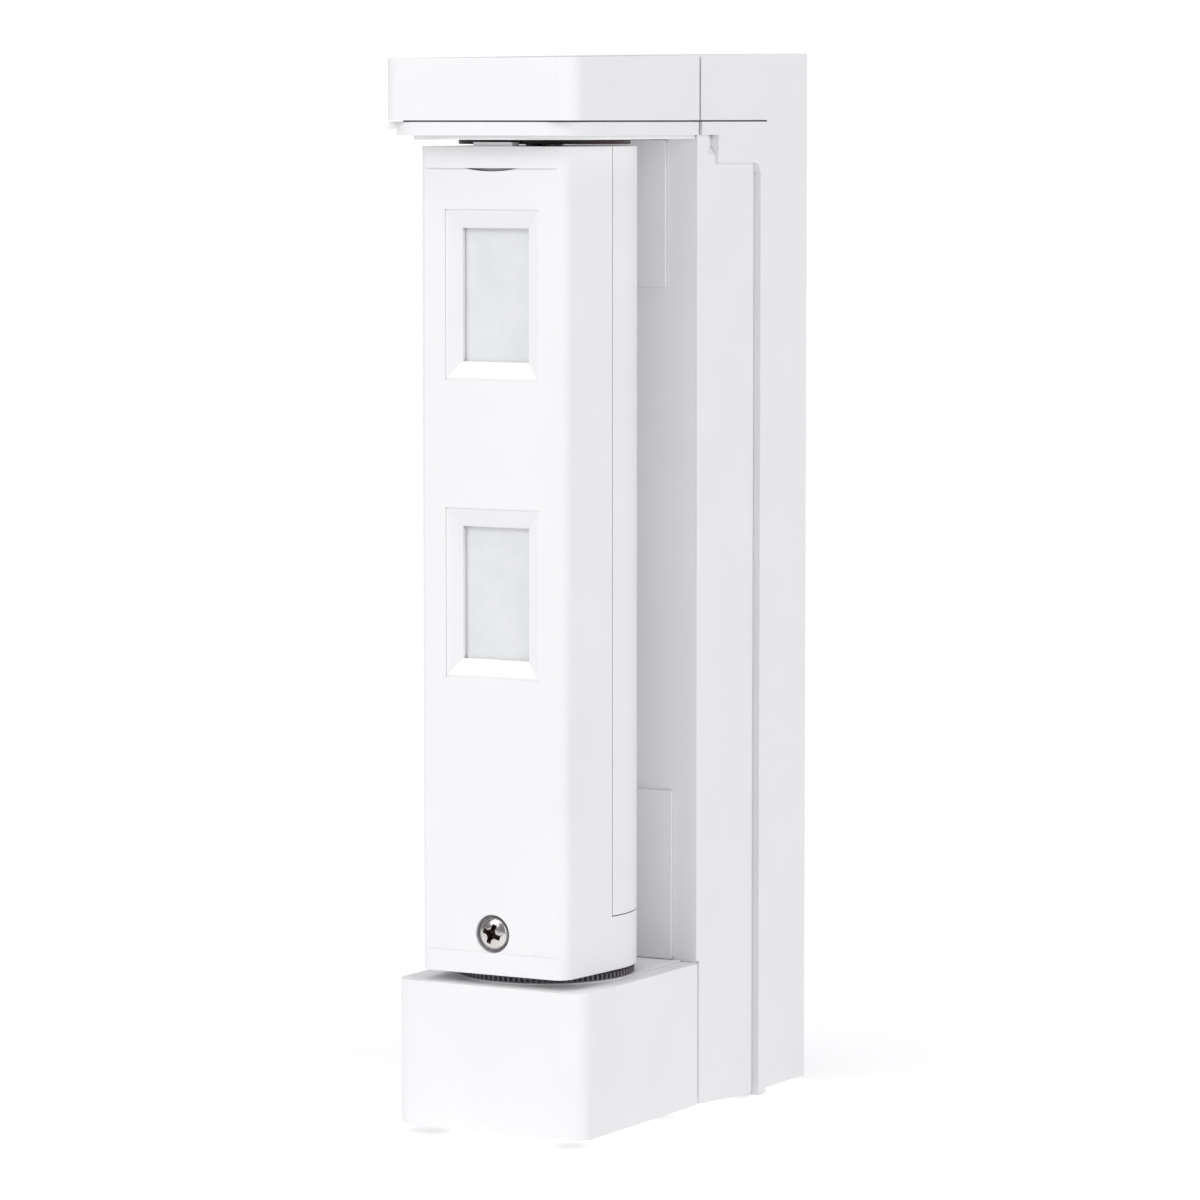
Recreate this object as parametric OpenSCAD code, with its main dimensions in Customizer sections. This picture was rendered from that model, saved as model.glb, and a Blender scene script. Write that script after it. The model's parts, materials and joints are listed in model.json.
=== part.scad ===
// Outdoor wall-mounted motion detector with a swivelling sensor head.
// Origin: centre of the rear wall face. +Z up, the front looks along -Y, +X to the right.

/* [Body] */
// Width of the block, hood and back box
body_w = 37; // [30:0.5:48]
// Height from the block's underside to the hood's front top edge
body_h = 180; // [160:1:220]
// Depth from the wall to the block's front face
body_d = 80; // [75:0.5:96]
// Wall thickness of the fixed mouldings
wall = 2; // [1.6:0.1:2.4]
// Radius of the upright front corners
corner_r = 3.3; // [2:0.1:5]

/* [Hood] */
// Height of the hood above its seam, at the front
hood_h = 10.3; // [8:0.1:14]
// How far the hood stands forward of the block
hood_overhang = 3.35; // [1:0.05:6]
// Rise of the hood's top from front to wall
hood_rise = 1.4; // [0:0.1:3]
// Thickness of the plate that closes the hood
plate_t = 2.25; // [1.8:0.05:3]
// Thickness of the step under that plate
plate_step_t = 0.7; // [0.5:0.05:1]
// Inset of the plate from the hood's sides
plate_inset = 0.1; // [0:0.05:0.4]
// Radius of the plate's front corners
plate_r = 6.8; // [4:0.1:8]
// Inset of the step from the hood's sides
plate_step_inset = 0.8; // [0.6:0.1:2]
// Radius of the step's front corners
plate_step_r = 11.8; // [8:0.1:12]

/* [Chassis and back box] */
// Depth of the lower block and of the space for the head
block_d = 40; // [38:0.5:44]
// Height of the lower block
block_h = 25; // [22:0.5:32]
// Height of the low plateau on the block, under the head
plateau_h = 0.3; // [0.2:0.05:0.5]
// Depth of the back box
box_d = 15.2; // [14:0.1:20]
// Width of the bead where the chassis meets the back box
rib_d = 2.8; // [2:0.1:5]
// How far that bead stands proud of the sides
rib_proud = 0.25; // [0.1:0.05:0.6]
// Width of the groove in front of the bead
groove_d = 1.6; // [1:0.1:3]
// How far the side panels sit back from the full width
panel_inset = 0.4; // [0.2:0.05:0.6]
// Height of the proud band at the top of the chassis
band_h = 7.1; // [5:0.1:10]
// Depth of the shallow front step of that band
band_step_d = 6.5; // [4:0.1:8]
// How far the chassis underside drops towards the bead
chassis_drop = 1.4; // [0:0.1:2]
// How far the back box reaches below the block
box_drop = 1; // [0:0.1:2]
// Width of the seam lines between mouldings
seam = 0.25; // [0.1:0.05:0.4]

/* [Head] */
// Distance of the swivel axis behind the block's front face
axis_back = 19.3; // [18.5:0.1:20]
// Radius of the head's round rear
head_r = 15.6; // [14.5:0.1:16.5]
// Distance of the head's front face ahead of the swivel axis
head_front = 18.1; // [17:0.1:18.3]
// Half-distance between the front corners' centres
head_corner_x = 11.6; // [11:0.1:12.4]
// Radius of the head's front corners
head_corner_r = 2.75; // [2:0.05:3.2]
// Gap between the block's top and the head
head_gap_low = 1.6; // [1.1:0.1:2]
// Gap between the hood's step and the head
head_gap_high = 1.1; // [1.1:0.1:2]
// Wall thickness of the head's shells
head_wall = 1.8; // [1.5:0.1:2]
// How far the shells' seam lies ahead of the swivel axis
seam_ahead = 3.9; // [3.8:0.1:4.5]
// Height of the cover's skirt
skirt_h = 9.3; // [9:0.1:12]
// Height of the proud bands at the cover's ends
lip_h = 3.6; // [3:0.1:5]
// How far the cover's face sits back between its bands
panel_back = 0.33; // [0.2:0.01:0.5]
// Reach of the skirt behind the swivel axis
skirt_reach = 10; // [9:0.1:10.5]

/* [Windows] */
// Width of each window
window_w = 12.8; // [10:0.1:13.4]
// Height of each window
window_h = 22.3; // [18:0.1:25]
// Distance of the upper window's centre below the head's top
window_drop = 24.7; // [22:0.1:26]
// Distance between the windows' centres
window_pitch = 49.9; // [46:0.1:54]
// Width of the bevel at a window's sides
bevel_x = 2.6; // [1:0.1:2.6]
// Width of the bevel above and below a window
bevel_z = 3.1; // [1:0.1:3.4]
// Depth of the bevel
bevel_depth = 1.4; // [0.8:0.1:1.5]
// Depth of the small step round the bevel
bevel_step = 0.2; // [0.1:0.05:0.3]
// Depth of the lens behind the cover's face
lens_depth = 2.3; // [2:0.1:2.6]
// Thickness of a lens
lens_t = 0.6; // [0.4:0.1:0.8]

/* [Swivel] */
// Radius of the lower spindle
low_spindle_r = 6; // [5:0.1:6.4]
// Radius of the upper spindle
high_spindle_r = 3.2; // [2.5:0.1:3.2]
// Running clearance of a spindle in its bush, on the radius
run_clear = 0.06; // [0.03:0.01:0.1]
// Number of teeth on the click ring
ring_teeth = 96; // [48:12:96]
// Height of the click ring
ring_h = 1; // [0.8:0.1:1]
// Radius of the thrust washer under the hood
washer_r = 14.5; // [10:0.1:14.6]
// Thickness of the thrust washer
washer_t = 0.75; // [0.5:0.05:0.8]
// Radius of the click ball
ball_r = 1.25; // [1:0.05:1.4]

/* [Fasteners] */
// Shank radius of the screws
screw_r = 1.5; // [1.2:0.05:1.6]
// Head radius of the screws
screw_head_r = 2.75; // [2.4:0.05:2.9]
// Head height of the screws
screw_head_h = 1.8; // [1.4:0.1:2]
// Radius of the counterbore round the cover's screw
counterbore_r = 3.25; // [3:0.05:3.6]
// Height of the cover's screw above the head's underside
lock_screw_up = 6.9; // [6.6:0.1:8.2]
// Radius of the wall-screw holes
wall_hole_r = 2.2; // [1.8:0.05:2.6]
// Distance between the wall-screw holes
wall_hole_spacing = 124; // [116:1:130]
// Radius of the cable's way through the grommet
cable_r = 3; // [2:0.1:3.4]

/* [Electronics] */
// Radius of a battery cell
cell_r = 8.5; // [7:0.1:8.6]
// Length of a battery cell
cell_h = 34.5; // [30:0.5:35]
// Thickness of the circuit boards
board_t = 1.6; // [1:0.1:1.6]
// Width of a lever on the option switch
lever_w = 1; // [0.8:0.1:1.2]
// Travel of a lever on the option switch
lever_travel = 1.6; // [1:0.1:1.8]
// Travel of the tamper plunger
plunger_travel = 1.2; // [0.8:0.1:1.5]

/* [Hidden] */
$fn = 48;

// Overshoot of a cutting shape past the face that it opens
cut = 0.5;
// Clearance between pieces that are only laid together
fit = 0.1;
shell_white = [0.95, 0.95, 0.96];
lens_grey = [0.86, 0.87, 0.87];
steel = [0.75, 0.75, 0.77];
board_green = [0.12, 0.38, 0.22];
dark_plastic = [0.16, 0.16, 0.17];
ring_grey = [0.42, 0.40, 0.44];
washer_brown = [0.25, 0.17, 0.17];

half_w = body_w / 2;
base_z = -body_h / 2;
front_y = -body_d;
block_back_y = front_y + block_d;
block_top_z = base_z + block_h;
hood_z = base_z + body_h - hood_h;
hood_front_y = front_y - hood_overhang;
// Depth from the hood's front to the wall, over which its top rises
hood_run = body_d + hood_overhang;
plate_top_z = hood_z - seam;
plate_low_z = plate_top_z - plate_t;
step_low_z = plate_low_z - plate_step_t;
rib_front_y = -box_d - rib_d;
groove_front_y = rib_front_y - groove_d;
chassis_low_z = base_z - chassis_drop;
box_low_z = base_z - box_drop;
inner_half_w = half_w - panel_inset - wall + 0.3;

axis_y = front_y + axis_back;
head_low_z = block_top_z + head_gap_low;
head_top_z = step_low_z - head_gap_high;
head_front_y = axis_y - head_front;
face_y = head_front_y + panel_back;
lens_y = face_y + lens_depth;
seam_y = axis_y - seam_ahead;
skirt_top_z = head_low_z + skirt_h;
screw_z = head_low_z + lock_screw_up;
window_zs = [head_top_z - window_drop, head_top_z - window_drop - window_pitch];
// Half-gap on each side of the shells' seam
half_seam = 0.08;
// Shadow lines round the edges that meet the chassis: their width and depth
shadow_w = 0.35;
shadow_depth = 1;
brow_shadow_w = 0.6;
block_shadow_w = 1.1;
// Inset of the rims that bear inside the seam lines
rim_inset = 1.2;
// Angle from straight ahead of the line from the axis to a front corner's centre
corner_run = [head_corner_x, head_front - head_corner_r];
corner_turn = atan2(corner_run[0], corner_run[1]);
// Angle from straight ahead at which the flat side meets the round rear
side_turn = corner_turn + acos((head_r - head_corner_r) / norm(corner_run));

// Neck of the rear shell inside the cover's skirt
neck_half_w = 8.4;
neck_front_y = axis_y - 9.2;
neck_floor_t = 2;
neck_wall = 1.4;
ball_y = axis_y + 10.6;
ring_out_r = 15.2;
ring_in_r = 8.9;
ring_top_z = block_top_z + ring_h;
bush_flange_t = 1;
low_bush_r = low_spindle_r + run_clear + 1.8;
high_bush_r = high_spindle_r + run_clear + 1.6;
spindle_bore_r = 2;
flange_t = 1.2;
clip_t = 1;
clip_z = block_top_z - wall - bush_flange_t - 0.3 - clip_t;

// Sensor board
board_half_w = 11;
board_front_y = axis_y + 2;
board_low_z = head_low_z + 14;
board_top_z = head_top_z - 5;
post_r = 2.8;
post_zs = [board_top_z - 3.5, board_low_z + 4];
rear_inner_y = axis_y + head_r - head_wall;
shroud_w = 15.4;
shroud_h = 24.6;
shroud_wall = 1.2;
shroud_front_y = lens_y + lens_t + 1.6 + 0.6;
sensor_r = 4.6;
sensor_h = 4.2;
frame_t = 1.6;
frame_margin_x = 2.7;
frame_margin_z = 2.7;
lens_margin = 1.4;
switch_z = (window_zs[0] + window_zs[1]) / 2;
switch_w = 12;
switch_h = 7.5;
switch_d = 3.4;
lever_pitch = 2.54;
lever_stand = 1;
lever_root = 1.2;
lever_slot_h = lever_w + lever_travel + 2 * fit;

// Back box contents
rear_wall = 2.2;
board_stand = 3;
main_half_w = 14;
main_half_h = 44;
main_front_y = -rear_wall - board_stand - board_t;
terminal_w = 21;
terminal_h = 9;
terminal_d = 8.5;
terminal_pitch = 5;
terminal_z = -main_half_h + terminal_h / 2 + 1;
grommet_z = base_z + 13;
grommet_r = cable_r + 1.6;
grommet_lip_r = grommet_r + 1.2;
grommet_lip_t = 1;
tamper_x = 9;
tamper_z = main_half_h + 8;
tamper_side = 7;
tamper_d = 8;
plunger_r = 1.5;
plunger_recess = 0.2;
case_x = inner_half_w - 3.6;
case_zs = [base_z + 8, plate_low_z - 5.5];
case_boss_r = 3.4;
case_screw_l = 18;
case_head_y = -0.6;
boss_hole_r = screw_r + 0.02;
pass_hole_r = screw_r + 0.15;
head_hole_r = screw_head_r + 0.2;
cradle_wall = 1.4;
cell_y = block_back_y + wall + cradle_wall + fit + cell_r;
cell_gap = 2.4;
battery_z = -18;
cells_h = 2 * cell_h + cell_gap;
contact_t = 0.5;
cradle_end_t = 1.6;
cradle_half_h = cells_h / 2 + contact_t + cradle_end_t + 2 * fit;
hood_boss_x = half_w - 8.2;
hood_boss_ys = [hood_front_y + 8];
base_boss_x = half_w - wall - 3;
base_boss_ys = [front_y + wall + 3, block_back_y - wall - 3];
base_t = 2;
bracket_x = 8;
bracket_zs = [base_z + 17.5, hood_z + 5];

// Points of an arc about c, radius r, from angle a0 to a1, angles from +X towards +Y
function arc(c, r, a0, a1, n = 12) =
    [for (i = [0 : n]) c + r * [cos(a0 + (a1 - a0) * i / n), sin(a0 + (a1 - a0) * i / n)]];

// Outline of the head seen from above, drawn in by an inset, about the swivel axis
function head_outline(inset) = let (
        r = head_corner_r - inset,
        big = head_r - inset,
        side = side_turn - 90
    ) concat(
        arc([head_corner_x, -corner_run[1]], max(r, 0.05), -90, side, 8),
        arc([0, 0], big, side, 180 - side, 60),
        arc([-head_corner_x, -corner_run[1]], max(r, 0.05), 180 - side, 270, 8));

// Outline of a box seen from above with rounded front corners
function front_rounded(half, y0, y1, r) = concat(
        arc([half - r, y0 + r], r, -90, 0, 8),
        [[half, y1], [-half, y1]],
        arc([-half + r, y0 + r], r, 180, 270, 8));

// A prism of the head's outline
module head_prism(inset, z0, z1) {
    translate([0, axis_y, z0])
        linear_extrude(z1 - z0)
            polygon(head_outline(inset));
}

// A box given by its two corners
module block(low, high) {
    translate(low)
        cube(high - low);
}

// A cylinder along +Y that starts at p
module rod_y(p, r, l) {
    translate(p)
        rotate([-90, 0, 0])
            cylinder(r = r, h = l);
}

// A cylinder along +Z that starts at p
module rod_z(p, r, l) {
    translate(p)
        cylinder(r = r, h = l);
}

// A pan-head screw along -Z, its head's underside at the origin
module screw(length) {
    crown = 0.35;
    slot_w = 0.7;
    slot_l = 3;
    slot_d = 1.1;
    difference() {
        union() {
            rotate_extrude()
                polygon([[0, 0], [screw_head_r, 0], [screw_head_r, screw_head_h - 2 * crown],
                    [screw_head_r - crown, screw_head_h - crown],
                    [screw_head_r - 4 * crown, screw_head_h], [0, screw_head_h]]);
            translate([0, 0, -length])
                cylinder(r = screw_r, h = length);
        }
        for (a = [0, 90])
            rotate([0, 0, a])
                translate([-slot_l / 2, -slot_w / 2, screw_head_h - slot_d])
                    cube([slot_l, slot_w, slot_d + cut]);
    }
}

// A wedge that takes away what lies above the hood's rising top
module above_top() {
    rise = hood_rise / hood_run;
    y0 = hood_front_y - 5;
    top = base_z + body_h;
    translate([-half_w - 5, 0, 0])
        rotate([90, 0, 90])
            linear_extrude(body_w + 10)
                polygon([[y0, top - 5 * rise], [5, top + (hood_run + 5) * rise],
                    [5, top + 40], [y0, top + 40]]);
}

// Takes the outer skin off the side edges between two depths and two heights
module side_shadow(y0, y1, z0, z1) {
    for (s = [-1, 1])
        translate([s * half_w, 0, 0])
            block([-shadow_depth, y0, z0], [shadow_depth, y1, z1]);
}

// The outer form of the lower block, with a low plateau under the head
module block_form() {
    translate([0, 0, base_z])
        linear_extrude(block_h - plateau_h)
            polygon(front_rounded(half_w, front_y, block_back_y, corner_r));
    rod_z([0, axis_y, block_top_z - wall / 2], ring_out_r, wall / 2);
    block([-ring_out_r, axis_y, block_top_z - wall / 2], [ring_out_r, block_back_y, block_top_z]);
}

// The places of the screws that join the chassis to the back box
module at_case_screws() {
    for (s = [-1, 1], z = case_zs)
        translate([s * case_x, 0, z])
            children();
}

// ---- Fixed housing ----

module back_box() {
    top_z = base_z + body_h + 4;
    brow_roof = 2;
    color(shell_white)
    difference() {
        union() {
            difference() {
                union() {
                    block([-half_w, -box_d, box_low_z], [half_w, 0, top_z]);
                    block([-half_w, block_back_y, hood_z], [half_w, 0, top_z]);
                }
                block([-inner_half_w, -box_d - cut, box_low_z + wall],
                    [inner_half_w, -rear_wall, hood_z + hood_h - brow_roof]);
                block([-inner_half_w, block_back_y + wall, hood_z + wall],
                    [inner_half_w, -rear_wall, hood_z + hood_h - brow_roof]);
            }
            // bearing strip inside the seam line above the chassis
            difference() {
                block([-half_w + rim_inset, block_back_y + rim_inset, plate_top_z],
                    [half_w - rim_inset, -box_d, hood_z + 0.1]);
                block([-inner_half_w + 0.4, block_back_y + wall, plate_top_z - cut],
                    [inner_half_w - 0.4, -box_d + cut, hood_z + cut]);
            }
            at_case_screws()
                rod_y([0, -box_d, 0], case_boss_r, box_d - rear_wall / 2);
            for (s = [-1, 1], z = [-main_half_h + 18, main_half_h - 4])
                rod_y([s * (main_half_w - 3), main_front_y + board_t, z], 2.2, board_stand + rear_wall / 2);
        }
        above_top();
        side_shadow(block_back_y - cut, block_back_y + brow_shadow_w, hood_z - cut, top_z + cut);
        at_case_screws() {
            rod_y([0, -box_d - cut, 0], pass_hole_r, box_d + 2 * cut);
            rod_y([0, case_head_y - screw_head_h, 0], head_hole_r, screw_head_h + 2);
        }
        for (s = [-1, 1])
            rod_y([0, -rear_wall - cut, s * wall_hole_spacing / 2], wall_hole_r, rear_wall + 2 * cut);
        rod_y([0, -rear_wall - cut, grommet_z], grommet_r + fit, rear_wall + 2 * cut);
        rod_y([tamper_x, -rear_wall - cut, tamper_z], plunger_r + run_clear, rear_wall + 2 * cut);
        for (s = [-1, 1])
            rod_y([s * bracket_x, block_back_y - cut, bracket_zs[1]], pass_hole_r, wall + 2 * cut);
    }
}

module chassis_form() {
    band_low_z = plate_top_z - band_h;
    band_r = 1.7;
    recess_d = 2.5;
    recess_in = 0.9;
    recess_low_z = plate_low_z - 3.4;
    recess_taper = 1.2;
    panel_half = half_w - panel_inset;
    groove_depth = 0.7;
    groove_half = panel_half - groove_depth;
    bead_drop = 0.2;
    corner_y = groove_front_y - 0.2;
    rib_half = half_w + rib_proud;
    difference() {
        union() {
            block([-panel_half, block_back_y, chassis_low_z], [panel_half, groove_front_y, plate_top_z]);
            block([-groove_half, groove_front_y - cut, chassis_low_z],
                [groove_half, rib_front_y + cut, plate_top_z]);
            block([-rib_half, rib_front_y, chassis_low_z - bead_drop], [rib_half, -box_d, plate_top_z]);
            // band at the top, level with the bead, shallow in front, with a rounded corner at the bead
            difference() {
                block([-rib_half, block_back_y, band_low_z - band_r],
                    [rib_half, rib_front_y + cut, plate_top_z]);
                block([-rib_half - cut, block_back_y - cut, band_low_z - band_r - cut],
                    [rib_half + cut, block_back_y + band_step_d, plate_low_z]);
                block([-rib_half - cut, block_back_y - cut, band_low_z - band_r - cut],
                    [rib_half + cut, corner_y, band_low_z]);
                translate([0, corner_y, band_low_z - band_r])
                    rotate([0, 90, 0])
                        cylinder(r = band_r, h = 2 * rib_half + 2, center = true);
            }
        }
        // underside that falls from the block towards the bead
        translate([-half_w - 2, 0, 0])
            rotate([90, 0, 90])
                linear_extrude(body_w + 4)
                    polygon([[block_back_y - cut, base_z], [block_back_y, base_z],
                        [rib_front_y, chassis_low_z], [rib_front_y, base_z - 6], [block_back_y - cut, base_z - 6]]);
        side_shadow(block_back_y - cut, block_back_y + brow_shadow_w, plate_low_z, plate_top_z + cut);
        side_shadow(block_back_y - cut, block_back_y + block_shadow_w, base_z - cut, block_top_z);
        // recess in each side, in the corner of the band, with a sloping lower end
        for (s = [-1, 1])
            translate([0, block_back_y + band_step_d, 0])
                rotate([90, 0, 0])
                    linear_extrude(recess_d)
                        polygon([[s * (panel_half - recess_in), plate_low_z],
                            [s * (rib_half + cut), plate_low_z], [s * (rib_half + cut), recess_low_z],
                            [s * panel_half, recess_low_z],
                            [s * (panel_half - recess_in), recess_low_z + recess_taper]]);
    }
}

module chassis() {
    // raised fields on the wall behind the head
    pad_t = 0.5;
    high_pad_half_w = 12.1;
    high_pad_low_z = plate_low_z - 26;
    low_pad_half_w = 13.4;
    low_pad_high_z = block_top_z + 29.4;
    color(shell_white)
    difference() {
        union() {
            difference() {
                chassis_form();
                block([-inner_half_w, block_back_y + wall, base_z + wall + 0.6],
                    [inner_half_w, -box_d + cut, plate_top_z - wall]);
            }
            at_case_screws()
                rod_y([0, block_back_y + wall / 2, 0], case_boss_r, -box_d - block_back_y - wall / 2);
            block([-high_pad_half_w, block_back_y - pad_t, high_pad_low_z],
                [high_pad_half_w, block_back_y + fit, step_low_z - 2 * fit]);
            block([-low_pad_half_w, block_back_y - pad_t, block_top_z + fit],
                [low_pad_half_w, block_back_y + fit, low_pad_high_z]);
        }
        at_case_screws()
            rod_y([0, -case_screw_l - 3, 0], boss_hole_r, case_screw_l);
        for (s = [-1, 1])
            rod_y([s * bracket_x, block_back_y - cut, bracket_zs[0]], pass_hole_r, wall + 2 * cut);
    }
}

module hood() {
    inner_r = plate_r - wall;
    color(shell_white)
    difference() {
        union() {
            difference() {
                translate([0, 0, hood_z])
                    linear_extrude(hood_h + 4)
                        polygon(front_rounded(half_w, hood_front_y, block_back_y, corner_r));
                translate([0, 0, hood_z - cut])
                    linear_extrude(hood_h - wall + cut)
                        polygon(front_rounded(half_w - wall, hood_front_y + wall, block_back_y - wall, inner_r));
            }
            // bearing rim inside the seam line
            difference() {
                translate([0, 0, plate_top_z])
                    linear_extrude(seam + 0.1)
                        polygon(front_rounded(half_w - rim_inset, hood_front_y + rim_inset,
                            block_back_y - 0.1, plate_r - rim_inset));
                translate([0, 0, plate_top_z - cut])
                    linear_extrude(seam + 2)
                        polygon(front_rounded(half_w - wall, hood_front_y + wall, block_back_y - wall, inner_r));
            }
            for (s = [-1, 1], y = hood_boss_ys)
                rod_z([s * hood_boss_x, y, plate_top_z], 2.6, hood_h - 1);
        }
        above_top();
        for (s = [-1, 1], y = hood_boss_ys)
            rod_z([s * hood_boss_x, y, plate_top_z - cut], boss_hole_r, 6.5);
        for (s = [-1, 1])
            rod_y([s * bracket_x, block_back_y - wall - cut, bracket_zs[1]], boss_hole_r, wall + 2 * cut);
    }
}

module hood_plate() {
    lug_y = hood_front_y + 2.2;
    lug_h = 1.2;
    color(shell_white)
    difference() {
        union() {
            translate([0, 0, plate_low_z])
                linear_extrude(plate_t)
                    polygon(front_rounded(half_w - plate_inset, hood_front_y + plate_inset, block_back_y, plate_r));
            translate([0, 0, step_low_z])
                linear_extrude(plate_step_t + 0.1)
                    polygon(front_rounded(half_w - plate_step_inset, hood_front_y + plate_step_inset,
                        block_back_y, plate_step_r));
            // lug for prising the plate off
            block([-half_w, lug_y, plate_top_z - lug_h], [-half_w + 4, lug_y + 5, plate_top_z]);
        }
        rod_z([0, axis_y, step_low_z - cut], high_bush_r, plate_t + plate_step_t + 2 * cut);
        for (s = [-1, 1], y = hood_boss_ys) {
            rod_z([s * hood_boss_x, y, step_low_z - cut], pass_hole_r, plate_t + plate_step_t + 2 * cut);
            rod_z([s * hood_boss_x, y, step_low_z - cut], head_hole_r, cut + screw_head_h + 0.2);
        }
    }
}

module upper_bush() {
    bush_l = plate_t + plate_step_t;
    color(dark_plastic)
    difference() {
        union() {
            rod_z([0, axis_y, step_low_z], high_bush_r, bush_l);
            rod_z([0, axis_y, plate_top_z], high_bush_r + 1.6, bush_flange_t);
        }
        rod_z([0, axis_y, step_low_z - cut], high_spindle_r + run_clear, bush_l + bush_flange_t + 2 * cut);
    }
}

// Disc that fills most of the gap between the hood and the head
module thrust_washer() {
    color(washer_brown)
    difference() {
        rod_z([0, axis_y, step_low_z - washer_t], washer_r, washer_t);
        rod_z([0, axis_y, step_low_z - washer_t - cut], high_spindle_r + run_clear, washer_t + 2 * cut);
    }
}

module lower_block() {
    color(shell_white)
    difference() {
        union() {
            difference() {
                block_form();
                block([-half_w + wall, front_y + wall, base_z - cut],
                    [half_w - wall, block_back_y - wall, block_top_z - wall]);
                // shadow line down the rear edge and under it
                difference() {
                    block([-half_w - cut, block_back_y - shadow_w, base_z - cut],
                        [half_w + cut, block_back_y + cut, block_top_z + cut]);
                    block([-half_w + shadow_depth, block_back_y - 1, base_z + shadow_depth],
                        [half_w - shadow_depth, block_back_y + 1, block_top_z + 1]);
                }
            }
            for (s = [-1, 1], y = base_boss_ys)
                rod_z([s * base_boss_x, y, base_z + base_t], 2.8, block_h - base_t - wall + 0.1);
        }
        for (s = [-1, 1], y = base_boss_ys)
            rod_z([s * base_boss_x, y, base_z], boss_hole_r, 12);
        rod_z([0, axis_y, block_top_z - wall - cut], low_bush_r, wall + 2 * cut);
        for (s = [-1, 1])
            rod_y([s * bracket_x, block_back_y - wall - cut, bracket_zs[0]], boss_hole_r, wall + 2 * cut);
    }
}

module block_base() {
    color(shell_white)
    difference() {
        block([-half_w + wall + fit, front_y + wall + fit, base_z],
            [half_w - wall - fit, block_back_y - wall - fit, base_z + base_t]);
        for (s = [-1, 1], y = base_boss_ys) {
            rod_z([s * base_boss_x, y, base_z - cut], pass_hole_r, base_t + 2 * cut);
            rod_z([s * base_boss_x, y, base_z - cut], head_hole_r, 1.2 + cut);
        }
    }
}

module click_ring() {
    notch_w = 0.62;
    notch_d = 0.8;
    color(ring_grey)
    difference() {
        rod_z([0, axis_y, block_top_z], ring_out_r, ring_h);
        rod_z([0, axis_y, block_top_z - cut], ring_in_r, ring_h + 2 * cut);
        for (i = [0 : ring_teeth - 1])
            translate([0, axis_y, block_top_z + 0.2])
                rotate([0, 0, i * 360 / ring_teeth])
                    translate([ring_out_r - notch_d, -notch_w / 2, 0])
                        cube([notch_d + cut, notch_w, ring_h]);
    }
}

module lower_bush() {
    color(dark_plastic)
    difference() {
        union() {
            rod_z([0, axis_y, block_top_z - wall], low_bush_r, wall + ring_h);
            rod_z([0, axis_y, block_top_z - wall - bush_flange_t], low_bush_r + 1.8, bush_flange_t);
        }
        rod_z([0, axis_y, block_top_z - wall - bush_flange_t - cut], low_spindle_r + run_clear,
            wall + ring_h + bush_flange_t + 2 * cut);
    }
}

module box_gasket() {
    ring_w = 1.2;
    low_z = base_z + wall + 0.6;
    top_z = plate_top_z - wall;
    gap = 0.05;
    color(dark_plastic)
    difference() {
        block([-inner_half_w + gap, -box_d - 1.8, low_z + gap], [inner_half_w - gap, -box_d + 1.8, top_z - gap]);
        block([-inner_half_w + ring_w, -box_d - 2 - cut, low_z + ring_w],
            [inner_half_w - ring_w, -box_d + 2 + cut, top_z - ring_w]);
        at_case_screws()
            rod_y([0, -box_d - 3, 0], case_boss_r + fit, 6);
    }
}

module cable_grommet() {
    color(dark_plastic)
    difference() {
        union() {
            rod_y([0, -rear_wall - grommet_lip_t, grommet_z], grommet_r, rear_wall + grommet_lip_t);
            rod_y([0, -rear_wall - grommet_lip_t, grommet_z], grommet_lip_r, grommet_lip_t);
        }
        rod_y([0, -rear_wall - grommet_lip_t - cut, grommet_z], cable_r, rear_wall + grommet_lip_t + 2 * cut);
    }
}

// ---- Inside the housing ----

module battery_holder() {
    half = cell_r + fit + cradle_wall;
    front = block_back_y + wall;
    color(dark_plastic)
    difference() {
        block([-half, front, battery_z - cradle_half_h], [half, cell_y + 2, battery_z + cradle_half_h]);
        rod_z([0, cell_y, battery_z - cells_h / 2 - contact_t - fit], cell_r + fit, cells_h + 2 * (contact_t + fit));
        block([-cell_r - fit, cell_y, battery_z - cells_h / 2 - contact_t - fit],
            [cell_r + fit, cell_y + 4, battery_z + cells_h / 2 + contact_t + fit]);
    }
}

module battery_cells() {
    nub_r = 3;
    nub_h = 1.2;
    color("steelblue")
    for (i = [0, 1])
        translate([0, cell_y, battery_z - cells_h / 2 + i * (cell_h + cell_gap)]) {
            cylinder(r = cell_r, h = cell_h - nub_h);
            cylinder(r = nub_r, h = cell_h);
        }
}

module battery_contacts() {
    plate_w = 10;
    low = battery_z - cells_h / 2;
    color(steel) {
        for (z = [low - contact_t, low + cells_h])
            block([-plate_w / 2, cell_y - 5, z], [plate_w / 2, cell_y + 5, z + contact_t]);
        // link between the two cells, with its folded spring
        block([-plate_w / 2, cell_y - 5, low + cell_h + contact_t],
            [plate_w / 2, cell_y + 5, low + cell_h + 2 * contact_t]);
        rod_z([0, cell_y, low + cell_h + 3 * contact_t], 3.4, cell_gap - 3 * contact_t - fit);
    }
}

module main_board() {
    color(board_green)
    difference() {
        block([-main_half_w, main_front_y, -main_half_h], [main_half_w, main_front_y + board_t, main_half_h]);
        rod_y([main_half_w - 3, main_front_y - cut, -main_half_h + 18], 1.2, board_t + 2 * cut);
    }
}

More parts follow.
